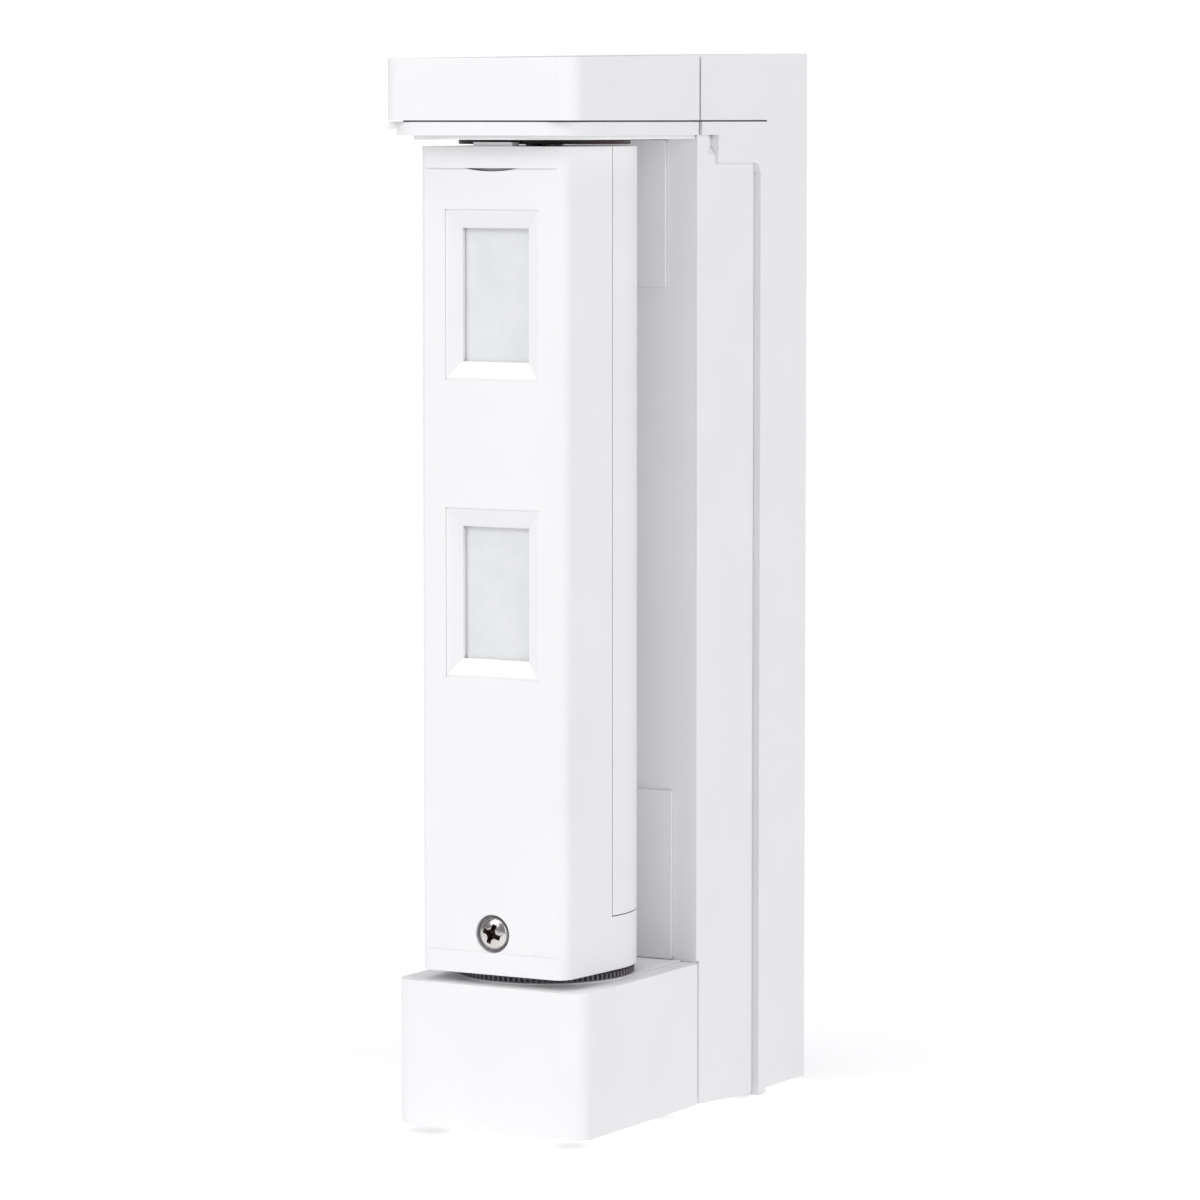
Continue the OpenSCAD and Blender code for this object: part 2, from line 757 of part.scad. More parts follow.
module terminal_block() {
    color(dark_plastic)
    difference() {
        block([-terminal_w / 2, main_front_y - terminal_d, terminal_z - terminal_h / 2],
            [terminal_w / 2, main_front_y, terminal_z + terminal_h / 2]);
        for (i = [-1.5 : 1.5]) {
            rod_y([i * terminal_pitch, main_front_y - terminal_d - cut, terminal_z + 1], 1.9, 3 + cut);
            block([i * terminal_pitch - 1.6, main_front_y - 5, terminal_z - terminal_h / 2 - cut],
                [i * terminal_pitch + 1.6, main_front_y - 1.5, terminal_z - 0.5]);
        }
    }
}

module terminal_screws() {
    color(steel)
    for (i = [-1.5 : 1.5])
        difference() {
            rod_y([i * terminal_pitch, main_front_y - terminal_d + 0.8, terminal_z + 1], 1.8, 2.2);
            block([i * terminal_pitch - 1.9, main_front_y - terminal_d, terminal_z + 0.75],
                [i * terminal_pitch + 1.9, main_front_y - terminal_d + 1.5, terminal_z + 1.25]);
        }
}

module tamper_housing() {
    color(dark_plastic)
    difference() {
        block([tamper_x - tamper_side / 2, -rear_wall - tamper_d, tamper_z - tamper_side / 2],
            [tamper_x + tamper_side / 2, -rear_wall, tamper_z + tamper_side / 2]);
        rod_y([tamper_x, -rear_wall - tamper_d + 1, tamper_z], plunger_r + run_clear, tamper_d);
    }
}

module tamper_plunger() {
    back = -rear_wall - tamper_d + 1 + plunger_travel + 0.4;
    color("gold")
    rod_y([tamper_x, back, tamper_z], plunger_r, -plunger_recess - back);
}

module case_screws() {
    color(steel)
    at_case_screws()
        translate([0, case_head_y - screw_head_h, 0])
            rotate([-90, 0, 0])
                screw(case_screw_l);
}

module hood_screws() {
    color(steel)
    for (s = [-1, 1], y = hood_boss_ys)
        translate([s * hood_boss_x, y, step_low_z + screw_head_h + 0.2])
            rotate([180, 0, 0])
                screw(6);
}

module base_screws() {
    color(steel)
    for (s = [-1, 1], y = base_boss_ys)
        translate([s * base_boss_x, y, base_z + 1.2])
            rotate([180, 0, 0])
                intersection() {
                    screw(8);
                    translate([-5, -5, -20])
                        cube([10, 10, 20 + 1.1]);
                }
}

module bracket_screws() {
    color(steel)
    for (s = [-1, 1], z = bracket_zs)
        translate([s * bracket_x, block_back_y + wall, z])
            rotate([-90, 0, 0])
                screw(2 * wall + 0.6);
}

// ---- Swivelling head ----

module rear_shell() {
    floor_z = skirt_top_z;
    tongue_y = axis_y + skirt_reach + 0.3;
    color(shell_white)
    difference() {
        union() {
            // round rear above the skirt
            difference() {
                head_prism(0, skirt_top_z, head_top_z);
                head_prism(head_wall, skirt_top_z + head_wall, head_top_z - head_wall);
                block([-30, axis_y - 30, skirt_top_z - 1], [30, seam_y + half_seam, head_top_z + 1]);
            }
            // neck that carries the lower spindle, and the tongue behind the skirt
            block([-neck_half_w, neck_front_y, head_low_z], [neck_half_w, tongue_y, floor_z + head_wall]);
            intersection() {
                head_prism(0, head_low_z, skirt_top_z + 0.1);
                block([-head_r, tongue_y, head_low_z], [head_r, axis_y + head_r, skirt_top_z + 0.1]);
            }
            for (z = post_zs)
                rod_y([0, board_front_y + board_t, z], post_r, rear_inner_y - board_front_y - board_t + 0.6);
            // boss for the cover's screw
            rod_y([0, neck_front_y - 1.5, screw_z], screw_r + 1.6, 3);
        }
        // inside of the neck, open to the shell above
        block([-neck_half_w + neck_wall, neck_front_y + neck_wall, head_low_z + neck_floor_t],
            [neck_half_w - neck_wall, ball_y - ball_r - 1.2, floor_z + head_wall + cut]);
        rod_y([0, neck_front_y - 2, screw_z], boss_hole_r, 5);
        rod_z([0, axis_y, head_low_z - cut], low_spindle_r, neck_floor_t + 2 * cut);
        rod_z([0, axis_y, head_top_z - head_wall - cut], high_spindle_r, head_wall + 2 * cut);
        rod_z([0, ball_y, head_low_z - cut], ball_r + fit, 6 + cut);
        for (z = post_zs)
            rod_y([0, board_front_y, z], boss_hole_r, 8);
    }
}

module lower_spindle() {
    low_z = clip_z - 1.2;
    top_z = head_low_z + neck_floor_t;
    color("silver")
    difference() {
        union() {
            rod_z([0, axis_y, low_z], low_spindle_r, top_z - low_z);
            rod_z([0, axis_y, top_z], low_spindle_r + 0.7, flange_t);
        }
        rod_z([0, axis_y, low_z - cut], spindle_bore_r + 1.5, top_z + flange_t - low_z + 2 * cut);
        // groove for the clip
        difference() {
            rod_z([0, axis_y, clip_z - 0.05], low_spindle_r + 1, clip_t + 0.1);
            rod_z([0, axis_y, clip_z - 1], low_spindle_r - 0.8, clip_t + 2);
        }
    }
}

module spindle_clip() {
    color(steel)
    difference() {
        rod_z([0, axis_y, clip_z], low_spindle_r + 2.2, clip_t);
        rod_z([0, axis_y, clip_z - cut], low_spindle_r - 0.75, clip_t + 2 * cut);
        block([-3.4, axis_y - 12, clip_z - cut], [3.4, axis_y, clip_z + clip_t + cut]);
    }
}

module upper_spindle() {
    low_z = head_top_z - head_wall;
    color("silver")
    difference() {
        union() {
            rod_z([0, axis_y, low_z], high_spindle_r, plate_top_z + bush_flange_t + 0.8 - low_z);
            rod_z([0, axis_y, low_z - flange_t], high_spindle_r + 1.6, flange_t);
        }
        rod_z([0, axis_y, low_z - flange_t - cut], spindle_bore_r, 20);
    }
}

module click_ball() {
    color(steel)
    translate([0, ball_y, ring_top_z + 0.08 + ball_r])
        sphere(r = ball_r);
}

module click_spring() {
    low_z = ring_top_z + 0.08 + 2 * ball_r + 0.05;
    top_z = head_low_z + 6;
    coil_r = ball_r - 0.05;
    wire = 0.35;
    color(steel)
    difference() {
        rod_z([0, ball_y, low_z], coil_r, top_z - low_z);
        rod_z([0, ball_y, low_z - cut], coil_r - wire, top_z - low_z + 2 * cut);
        for (z = [low_z + wire : 2 * wire : top_z - 2 * wire])
            difference() {
                rod_z([0, ball_y, z], coil_r + 1, wire);
                rod_z([0, ball_y, z - 1], coil_r - 0.15, 3);
            }
    }
}

module sensor_board() {
    color(board_green)
    difference() {
        block([-board_half_w, board_front_y, board_low_z], [board_half_w, board_front_y + board_t, board_top_z]);
        for (z = post_zs)
            rod_y([0, board_front_y - cut, z], pass_hole_r, board_t + 2 * cut);
    }
}

module board_screws() {
    color(steel)
    for (z = post_zs)
        translate([0, board_front_y, z])
            rotate([90, 0, 0])
                screw(7);
}

// A sensor can on its board at height z
module sensor_can(z) {
    flange_r = sensor_r + 0.5;
    color("silver")
    difference() {
        union() {
            rod_y([0, board_front_y - sensor_h, z], sensor_r, sensor_h);
            rod_y([0, board_front_y - 0.6, z], flange_r, 0.6);
        }
        block([-2, board_front_y - sensor_h - cut, z - 1.5], [2, board_front_y - sensor_h + 0.3, z + 1.5]);
    }
}

module upper_sensor() { sensor_can(window_zs[0]); }

module lower_sensor() { sensor_can(window_zs[1]); }

// A light tunnel between a lens and its sensor
module shroud(z) {
    x = shroud_w / 2;
    h = shroud_h / 2;
    color(dark_plastic)
    difference() {
        block([-x, shroud_front_y, z - h], [x, board_front_y, z + h]);
        block([-x + shroud_wall, shroud_front_y - cut, z - h + shroud_wall],
            [x - shroud_wall, board_front_y - shroud_wall, z + h - shroud_wall]);
        rod_y([0, board_front_y - 3, z], sensor_r + 0.5 + fit, 4);
    }
}

module upper_shroud() { shroud(window_zs[0]); }

module lower_shroud() { shroud(window_zs[1]); }

module indicator_led() {
    r = 1.5;
    z = window_zs[1] - shroud_h / 2 - 5;
    color("red") {
        rod_y([0, board_front_y - 3.4, z], r, 3.4);
        translate([0, board_front_y - 3.4, z])
            sphere(r = r);
    }
}

module option_switch() {
    color("firebrick")
    difference() {
        block([-switch_w / 2, board_front_y - switch_d, switch_z - switch_h / 2],
            [switch_w / 2, board_front_y, switch_z + switch_h / 2]);
        for (i = [-1.5 : 1.5])
            block([i * lever_pitch - lever_w / 2 - fit, board_front_y - switch_d - cut, switch_z - lever_slot_h / 2],
                [i * lever_pitch + lever_w / 2 + fit, board_front_y - switch_d + lever_root + fit,
                    switch_z + lever_slot_h / 2]);
    }
}

// One lever of the option switch, in its lower place
module option_lever(i) {
    x = (i - 2.5) * lever_pitch;
    low_z = switch_z - lever_slot_h / 2 + fit;
    color("white")
    block([x - lever_w / 2, board_front_y - switch_d - lever_stand, low_z],
        [x + lever_w / 2, board_front_y - switch_d + lever_root, low_z + lever_w]);
}

module cover_seal() {
    t = 0.8;
    proud = 0.9;
    color(dark_plastic)
    difference() {
        head_prism(head_wall + 0.05, skirt_top_z + head_wall + 0.05, head_top_z - head_wall - 0.05);
        head_prism(head_wall + t, skirt_top_z + head_wall + t, head_top_z - head_wall - t);
        block([-30, axis_y - 30, skirt_top_z], [30, seam_y + half_seam + 0.2, head_top_z]);
        block([-30, seam_y + half_seam + 0.2 + proud, skirt_top_z], [30, axis_y + 30, head_top_z]);
        // way round the upper spindle's flange
        rod_z([0, axis_y, head_top_z - head_wall - flange_t - 1], high_spindle_r + 1.6 + fit, flange_t + 2);
    }
}

// ---- Removable cover ----

// Four-sided opening that narrows from the cover's face to its window edge
module window_cut(z) {
    x1 = window_w / 2;
    z1 = window_h / 2;
    x0 = x1 + bevel_x;
    z0 = z1 + bevel_z;
    grow = cut / bevel_depth;
    xa = x0 + bevel_x * grow;
    za = z0 + bevel_z * grow;
    ya = face_y - cut;
    yb = face_y + bevel_depth;
    translate([0, 0, z]) {
        polyhedron(
            points = [[-xa, ya, -za], [xa, ya, -za], [xa, ya, za], [-xa, ya, za],
                [-x1, yb, -z1], [x1, yb, -z1], [x1, yb, z1], [-x1, yb, z1]],
            faces = [[3, 2, 1, 0], [4, 5, 6, 7], [1, 5, 4, 0], [2, 6, 5, 1], [3, 7, 6, 2], [0, 4, 7, 3]]);
        block([-x0, ya, -z0], [x0, face_y + bevel_step, z0]);
        block([-x1, yb - 0.05, -z1], [x1, lens_y + cut, z1]);
    }
}

module front_cover() {
    notch_r = 24;
    notch_depth = 0.55;
    tab_x = 3.7;
    tab_h = 0.7;
    lip_top_z = head_top_z - lip_h;
    lip_low_z = head_low_z + lip_h;
    seat_x = window_w / 2 + frame_margin_x;
    seat_z = window_h / 2 + frame_margin_z;
    color(shell_white)
    difference() {
        union() {
            difference() {
                head_prism(0, head_low_z, head_top_z);
                head_prism(head_wall, head_low_z + head_wall, head_top_z - head_wall);
                block([-30, seam_y - half_seam, skirt_top_z - 2 * half_seam], [30, axis_y + 30, head_top_z + cut]);
                block([-30, axis_y + skirt_reach, head_low_z - cut], [30, axis_y + 30, skirt_top_z]);
                // way for the neck through the skirt's floor
                block([-neck_half_w - 0.6, neck_front_y - 1, head_low_z - cut],
                    [neck_half_w + 0.6, axis_y + 30, head_low_z + head_wall + cut]);
            }
            // seats of the lenses
            for (z = window_zs)
                block([-seat_x, face_y + 1, z - seat_z], [seat_x, lens_y, z + seat_z]);
            // land round the screw
            rod_y([0, face_y + 1, screw_z], counterbore_r + 1, 3);
            // latch tab on the top
            block([-tab_x, head_front_y + 0.8, head_top_z - 0.2], [tab_x, head_front_y + 3.2, head_top_z + tab_h]);
        }
        // face between the two end bands
        block([-20, head_front_y - cut, lip_low_z], [20, face_y, lip_top_z]);
        // thumb notch under the top band
        intersection() {
            rod_y([0, face_y - cut, lip_top_z + notch_r - notch_depth], notch_r, cut + 0.7);
            block([-10, face_y - cut, lip_top_z - 2], [10, face_y + 1, lip_top_z]);
        }
        for (z = window_zs)
            window_cut(z);
        rod_y([0, head_front_y - cut, screw_z], counterbore_r, panel_back + 1.3 + cut);
        rod_y([0, head_front_y - cut, screw_z], screw_r + run_clear, 8);
    }
}

// A flat lens behind a window
module lens(z) {
    x = window_w / 2 + lens_margin;
    h = window_h / 2 + lens_margin;
    color(lens_grey)
    block([-x, lens_y, z - h], [x, lens_y + lens_t, z + h]);
}

module upper_lens() { lens(window_zs[0]); }

module lower_lens() { lens(window_zs[1]); }

module lens_frames() {
    x1 = window_w / 2;
    z1 = window_h / 2;
    y1 = lens_y + lens_t;
    color(dark_plastic)
    for (z = window_zs)
        difference() {
            block([-x1 - frame_margin_x, lens_y, z - z1 - frame_margin_z],
                [x1 + frame_margin_x, y1 + frame_t, z + z1 + frame_margin_z]);
            block([-x1 - lens_margin - 0.05, lens_y - cut, z - z1 - lens_margin - 0.05],
                [x1 + lens_margin + 0.05, y1, z + z1 + lens_margin + 0.05]);
            block([-x1, lens_y - cut, z - z1], [x1, y1 + frame_t + cut, z + z1]);
        }
}

module lock_screw() {
    color(steel)
    translate([0, head_front_y + panel_back + 1.3, screw_z])
        rotate([90, 0, 0])
            rotate([0, 0, 20])
                screw(neck_front_y + 2.6 - head_front_y - panel_back - 1.3);
}

back_box();
chassis();
hood();
hood_plate();
lower_block();
block_base();
click_ring();
lower_bush();
upper_bush();
thrust_washer();
box_gasket();
cable_grommet();
battery_holder();
battery_cells();
battery_contacts();
main_board();
terminal_block();
terminal_screws();
tamper_housing();
case_screws();
hood_screws();
base_screws();
bracket_screws();
rear_shell();
lower_spindle();
upper_spindle();
spindle_clip();
click_ball();
click_spring();
sensor_board();
board_screws();
upper_sensor();
lower_sensor();
upper_shroud();
lower_shroud();
indicator_led();
option_switch();
cover_seal();
front_cover();
upper_lens();
lower_lens();
lens_frames();
lock_screw();
tamper_plunger();
option_lever(1);  // option_lever_1
option_lever(2);  // option_lever_2
option_lever(3);  // option_lever_3
option_lever(4);  // option_lever_4
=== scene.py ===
"""Outdoor wall-mounted motion detector with a swivelling sensor head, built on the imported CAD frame.

Metres, +Z up, the front looks along -Y. The rear wall face is at y = 0.
"""

import json
import math

import bmesh
import bpy
from mathutils import Matrix, Vector


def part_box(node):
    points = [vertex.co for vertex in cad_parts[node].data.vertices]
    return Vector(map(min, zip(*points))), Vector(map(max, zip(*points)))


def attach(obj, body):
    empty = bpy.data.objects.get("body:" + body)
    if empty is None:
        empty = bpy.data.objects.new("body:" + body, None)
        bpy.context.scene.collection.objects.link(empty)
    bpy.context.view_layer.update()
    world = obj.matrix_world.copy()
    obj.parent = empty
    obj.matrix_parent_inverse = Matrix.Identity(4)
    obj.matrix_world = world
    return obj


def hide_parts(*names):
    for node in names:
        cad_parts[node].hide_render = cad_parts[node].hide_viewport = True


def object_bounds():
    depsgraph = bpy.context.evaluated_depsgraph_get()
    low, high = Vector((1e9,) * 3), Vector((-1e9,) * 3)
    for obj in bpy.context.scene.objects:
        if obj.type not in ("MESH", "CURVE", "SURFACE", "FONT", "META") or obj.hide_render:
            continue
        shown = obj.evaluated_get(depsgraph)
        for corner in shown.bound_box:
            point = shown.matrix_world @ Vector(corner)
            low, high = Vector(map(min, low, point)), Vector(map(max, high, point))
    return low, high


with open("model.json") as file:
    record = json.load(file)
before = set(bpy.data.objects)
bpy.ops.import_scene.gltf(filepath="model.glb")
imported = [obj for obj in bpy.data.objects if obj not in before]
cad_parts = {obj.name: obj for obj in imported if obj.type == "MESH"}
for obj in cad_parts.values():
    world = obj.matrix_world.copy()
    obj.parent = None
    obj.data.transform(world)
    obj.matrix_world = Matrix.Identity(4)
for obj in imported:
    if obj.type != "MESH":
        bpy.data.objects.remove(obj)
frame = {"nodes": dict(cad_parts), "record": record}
cad_low, cad_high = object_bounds()

MM = 0.001
NODES = frame["nodes"]

# Camera
CAMERA_AZIMUTH = 29.4
CAMERA_HEIGHT_ANGLE = 5.08
CAMERA_DISTANCE = 0.943
CAMERA_LENS = 163.5
CAMERA_SENSOR = 36
CAMERA_CLIP = (0.01, 50)
CAMERA_AIM_DROP = 3 * MM

# Studio
FLOOR_HALF_SIZE = 6
FLOOR_DROP = 0.2 * MM
FLOOR_GLOW = 0.44
WORLD_LIGHT = 0.23
WORLD_TINT = (0.925, 0.91, 1.0, 1)
BACKDROP_LIGHT = 1.05
PURE_WHITE = (1, 1, 1, 1)
SOFT_BOX_DISTANCE = 0.45
SOFT_BOX_SIDE = 0.3


# ---------------------------------------------------------------- small helpers


def new_object(name, mesh, body=None, material=None):
    """A mesh object in the scene, riding on a body."""
    obj = bpy.data.objects.new(name, mesh)
    bpy.context.scene.collection.objects.link(obj)
    if material is not None:
        mesh.materials.append(material)
    if body is not None:
        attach(obj, body)
    return obj


def mesh_from(bm, name, smooth=True):
    """Turns a bmesh into a mesh datablock."""
    bmesh.ops.recalc_face_normals(bm, faces=bm.faces)
    mesh = bpy.data.meshes.new(name)
    bm.to_mesh(mesh)
    bm.free()
    for p in mesh.polygons:
        p.use_smooth = smooth
    return mesh


def add_box(bm, low, high):
    """Adds an axis-aligned box to a bmesh."""
    low, high = Vector(low), Vector(high)
    size = high - low
    matrix = Matrix.Translation((low + high) / 2) @ Matrix.Diagonal((*size, 1))
    bmesh.ops.create_cube(bm, size=1, matrix=matrix)


def add_bevel(obj, width, segments=2, angle=30):
    """Rounds the edges of an object that are sharper than an angle in degrees."""
    bevel = obj.modifiers.new("round", "BEVEL")
    bevel.width = width
    bevel.segments = segments
    bevel.limit_method = "ANGLE"
    bevel.angle_limit = math.radians(angle)
    return bevel


def soften(obj, width):
    """Rounds the edges of a CAD node and evens its normals."""
    for p in obj.data.polygons:
        p.use_smooth = True
    weld = obj.modifiers.new("weld", "WELD")
    weld.merge_threshold = 0.001 * MM
    bevel = add_bevel(obj, width, segments=3, angle=18)
    bevel.harden_normals = True
    bevel.miter_outer = "MITER_ARC"
    bevel.use_clamp_overlap = True
    normals = obj.modifiers.new("normals", "WEIGHTED_NORMAL")
    normals.keep_sharp = True
    normals.weight = 80


# ---------------------------------------------------------------- materials


class Nodes:
    """A thin wrapper that makes node trees short to write."""

    def __init__(self, name):
        self.mat = bpy.data.materials.new(name)
        self.mat.use_nodes = True
        self.tree = self.mat.node_tree
        self.bsdf = self.tree.nodes["Principled BSDF"]
        self.coord = self.add("ShaderNodeTexCoord")

    def add(self, kind, **values):
        node = self.tree.nodes.new(kind)
        for key, value in values.items():
            if key in node.inputs:
                node.inputs[key].default_value = value
            else:
                setattr(node, key, value)
        return node

    def link(self, a, b):
        self.tree.links.new(a, b)

    def noise(self, scale, detail=2.0, roughness=0.5):
        node = self.add("ShaderNodeTexNoise", Scale=scale, Detail=detail, Roughness=roughness)
        self.link(self.coord.outputs["Object"], node.inputs["Vector"])
        return node.outputs["Fac"]

    def ramp(self, fac, low, high, at=(0.3, 0.7)):
        node = self.add("ShaderNodeValToRGB")
        node.color_ramp.elements[0].position = at[0]
        node.color_ramp.elements[1].position = at[1]
        node.color_ramp.elements[0].color = (*low, 1)
        node.color_ramp.elements[1].color = (*high, 1)
        self.link(fac, node.inputs["Fac"])
        return node.outputs["Color"]

    def spread(self, fac, low, high):
        node = self.add("ShaderNodeMapRange")
        node.inputs["To Min"].default_value = low
        node.inputs["To Max"].default_value = high
        self.link(fac, node.inputs["Value"])
        return node.outputs["Result"]

    def painted_shade_in_crevices(self, colour, reach, shade):
        """Darkens a colour where other surfaces lie within reach: painted shade in seams, crevices and gaps
        between parts.
        """
        near = self.add("ShaderNodeAmbientOcclusion", samples=CREVICE_SAMPLES, Distance=reach)
        tone = self.ramp(near.outputs["AO"], shade, (1, 1, 1), at=CREVICE_RAMP)
        mix = self.add("ShaderNodeMix", data_type="RGBA", blend_type="MULTIPLY")
        mix.inputs["Factor"].default_value = 1.0
        self.link(colour, mix.inputs["A"])
        self.link(tone, mix.inputs["B"])
        return mix.outputs["Result"]

    def bump(self, height, strength, distance, normal=None):
        node = self.add("ShaderNodeBump", Strength=strength, Distance=distance)
        self.link(height, node.inputs["Height"])
        if normal is not None:
            self.link(normal, node.inputs["Normal"])
        return node.outputs["Normal"]

    def set(self, **values):
        for key, value in values.items():
            self.bsdf.inputs[key.replace("_", " ")].default_value = value

    def to(self, socket, name):
        self.link(socket, self.bsdf.inputs[name])


def moulded_plastic(name, colour, rough=0.42, grain=0.10, painted_seam_shade=None):
    """Injection-moulded plastic: faint flow variation, fine eroded grain and slight sink, with painted shade
    in its seams when a seam shade colour is given.
    """
    n = Nodes(name)
    low = tuple(c * (1 - FLOW_VARIATION) for c in colour)
    high = tuple(min(1.0, c * (1 + FLOW_VARIATION)) for c in colour)
    tone = n.ramp(n.noise(60, detail=3), low, high)
    # Painted shade: the colour darkens where other surfaces lie close, in seams and gaps
    if painted_seam_shade is not None:
        tone = n.painted_shade_in_crevices(tone, CREVICE_REACH, painted_seam_shade)
    n.to(tone, "Base Color")
    n.to(n.spread(n.noise(900), rough - 0.05, rough + 0.06), "Roughness")
    sink = n.bump(n.noise(38, detail=1), strength=0.12, distance=0.3 * MM)
    fine = n.noise(3600, detail=3, roughness=0.6)
    n.to(n.bump(fine, strength=grain, distance=0.05 * MM, normal=sink), "Normal")
    n.set(IOR=1.52)
    return n.mat


def metal(name, colour, rough=0.28):
    """Bare or plated metal with slight tarnish and fine tool marks."""
    n = Nodes(name)
    dark = tuple(c * 0.8 for c in colour)
    n.to(n.ramp(n.noise(500, detail=4, roughness=0.6), dark, colour), "Base Color")
    n.to(n.spread(n.noise(1500, detail=3), rough - 0.08, rough + 0.1), "Roughness")
    marks = n.noise(2600, detail=4, roughness=0.6)
    n.to(n.bump(marks, strength=0.15, distance=0.04 * MM), "Normal")
    n.set(Metallic=1.0)
    return n.mat


def rubber(name, colour):
    """Matt rubber with a dusty bloom."""
    n = Nodes(name)
    bloom = tuple(c * 1.6 + 0.01 for c in colour)
    n.to(n.ramp(n.noise(200, detail=4), colour, bloom), "Base Color")
    n.to(n.spread(n.noise(1200, detail=3), 0.65, 0.85), "Roughness")
    n.to(n.bump(n.noise(2500, detail=3), strength=0.3, distance=0.06 * MM), "Normal")
    return n.mat


def frosted_lens(name):
    """Translucent milky film with a faint cloudiness and a very fine uneven surface."""
    n = Nodes(name)
    cloud = n.noise(120, detail=4, roughness=0.6)
    n.to(n.ramp(cloud, (0.74, 0.755, 0.76), (0.82, 0.83, 0.83)), "Base Color")
    n.to(n.spread(n.noise(700), 0.4, 0.55), "Roughness")
    n.to(n.bump(n.noise(2400), strength=0.1, distance=0.04 * MM), "Normal")
    n.set(Subsurface_Weight=0.35, Subsurface_Scale=1.5 * MM, IOR=1.5)
    n.bsdf.inputs["Subsurface Radius"].default_value = (1.0, 1.0, 1.0)
    return n.mat


def circuit_board(name):
    """Green solder resist with a brick pattern for the copper tracks below it."""
    n = Nodes(name)
    tracks = n.add("ShaderNodeTexBrick", Scale=260.0)
    n.link(n.coord.outputs["Object"], tracks.inputs["Vector"])
    tracks.inputs["Color1"].default_value = (0.012, 0.11, 0.05, 1)
    tracks.inputs["Color2"].default_value = (0.015, 0.13, 0.06, 1)
    tracks.inputs["Mortar"].default_value = (0.03, 0.2, 0.09, 1)
    tracks.inputs["Mortar Size"].default_value = 0.02
    n.to(tracks.outputs["Color"], "Base Color")
    n.to(n.spread(n.noise(600), 0.25, 0.4), "Roughness")
    n.to(n.bump(tracks.outputs["Fac"], strength=0.2, distance=0.03 * MM), "Normal")
    return n.mat


WHITE = (0.862, 0.864, 0.868)
FLOW_VARIATION = 0.012
# Colour that the painted shade in seams, crevices and gaps between parts darkens towards
SEAM_PAINTED_SHADE = (0.34, 0.31, 0.35)
CREVICE_REACH = 1.0 * MM
CREVICE_SAMPLES = 12
CREVICE_RAMP = (0.1, 0.66)
materials = {
    # The housing carries painted shade in its seams and crevices
    "housing_white": moulded_plastic("housing_white", WHITE, painted_seam_shade=SEAM_PAINTED_SHADE),
    "ring_grey": moulded_plastic("ring_grey", (0.17, 0.155, 0.175), rough=0.4),
    "washer_brown": moulded_plastic("washer_brown", (0.035, 0.016, 0.016), rough=0.45),
    "inner_plastic": moulded_plastic("inner_plastic", (0.03, 0.03, 0.033), rough=0.5),
    "seal_rubber": rubber("seal_rubber", (0.02, 0.02, 0.02)),
    "steel": metal("steel", (0.62, 0.62, 0.63)),
    "screw_steel": metal("screw_steel", (0.72, 0.70, 0.68), rough=0.22),
    "cell_wrap": moulded_plastic("cell_wrap", (0.05, 0.13, 0.3), rough=0.25, grain=0.02),
    "circuit_board": circuit_board("circuit_board"),
    "lens_film": frosted_lens("lens_film"),
    "led_red": moulded_plastic("led_red", (0.45, 0.02, 0.02), rough=0.12, grain=0.0),
    "switch_body": moulded_plastic("switch_body", (0.4, 0.03, 0.025), rough=0.3),
    "lever_white": moulded_plastic("lever_white", (0.85, 0.85, 0.82), rough=0.3),
    "plunger_brass": metal("plunger_brass", (0.75, 0.55, 0.25)),
    "chip_tan": moulded_plastic("chip_tan", (0.42, 0.30, 0.17), rough=0.45, grain=0.2),
    # Painted shade for the screw's cross recess: a dark metal on the recess faces
    "recess_painted_shade": metal("recess_painted_shade", (0.11, 0.068, 0.058), rough=0.5),
}

slot_of = {s["node"]: s["material_slot"] for s in frame["record"]["subparts"]}
for node, obj in NODES.items():
    obj.data.materials.clear()
    obj.data.materials.append(materials[slot_of[node]])
    for p in obj.data.polygons:
        p.material_index = 0

# Radius of the rounded edges of each node, in millimetres
EDGES = {
    "hood": 0.35, "back_box": 0.35, "chassis": 0.25, "lower_block": 0.45, "hood_plate": 0.2,
    "front_cover": 0.15, "rear_shell": 0.2, "block_base": 0.2, "battery_holder": 0.2,
    "lens_frames": 0.1, "upper_shroud": 0.15, "lower_shroud": 0.15, "option_switch": 0.15,
    "cable_grommet": 0.2, "thrust_washer": 0.1, "upper_sensor": 0.15, "lower_sensor": 0.15,
    "tamper_plunger": 0.2, "lower_spindle": 0.15, "upper_spindle": 0.15, "spindle_clip": 0.1,
    "option_lever_1": 0.1, "option_lever_2": 0.1, "option_lever_3": 0.1, "option_lever_4": 0.1,
    "sensor_board": 0.06, "click_ring": 0.05,
}
for node, width in EDGES.items():
    soften(NODES[node], width * MM)

# ---------------------------------------------------------------- the cover's screw

# The screw, from the crown of its head to the point of its thread
SCREW_SIDES = 48
SCREW_HEAD_H = 1.8 * MM
SCREW_CROWN = 1.1 * MM
CROWN_STEPS = 8
CROWN_POWER = 0.85
HEAD_CHAMFER = 0.12 * MM
SHANK_R = 1.5 * MM
SHANK_TOP = 0.02 * MM
THREAD_TOP = 0.3 * MM
THREAD_PITCH = 0.5 * MM
THREAD_DEPTH = 0.2 * MM
THREAD_STEPS = 6
TIP_TAPER = 0.45 * MM
TIP_BARE = 1.0 * MM
TIP_POINT = 0.1 * MM
SCREW_BEVEL = 0.05 * MM

# The cross recess: each arm's reach and half width at the top and at the floor, and its middle cone
RECESS_TURN = 22
RECESS_DEPTH = 1.35 * MM
RECESS_ABOVE = 0.3 * MM
RECESS_START = 0.1 * MM
RECESS_TOP = (2.05 * MM, 0.46 * MM)
RECESS_FLOOR = (0.95 * MM, 0.30 * MM)
RECESS_CONE = (0.45 * MM, 1.0 * MM)
RECESS_CONE_SIDES = 24


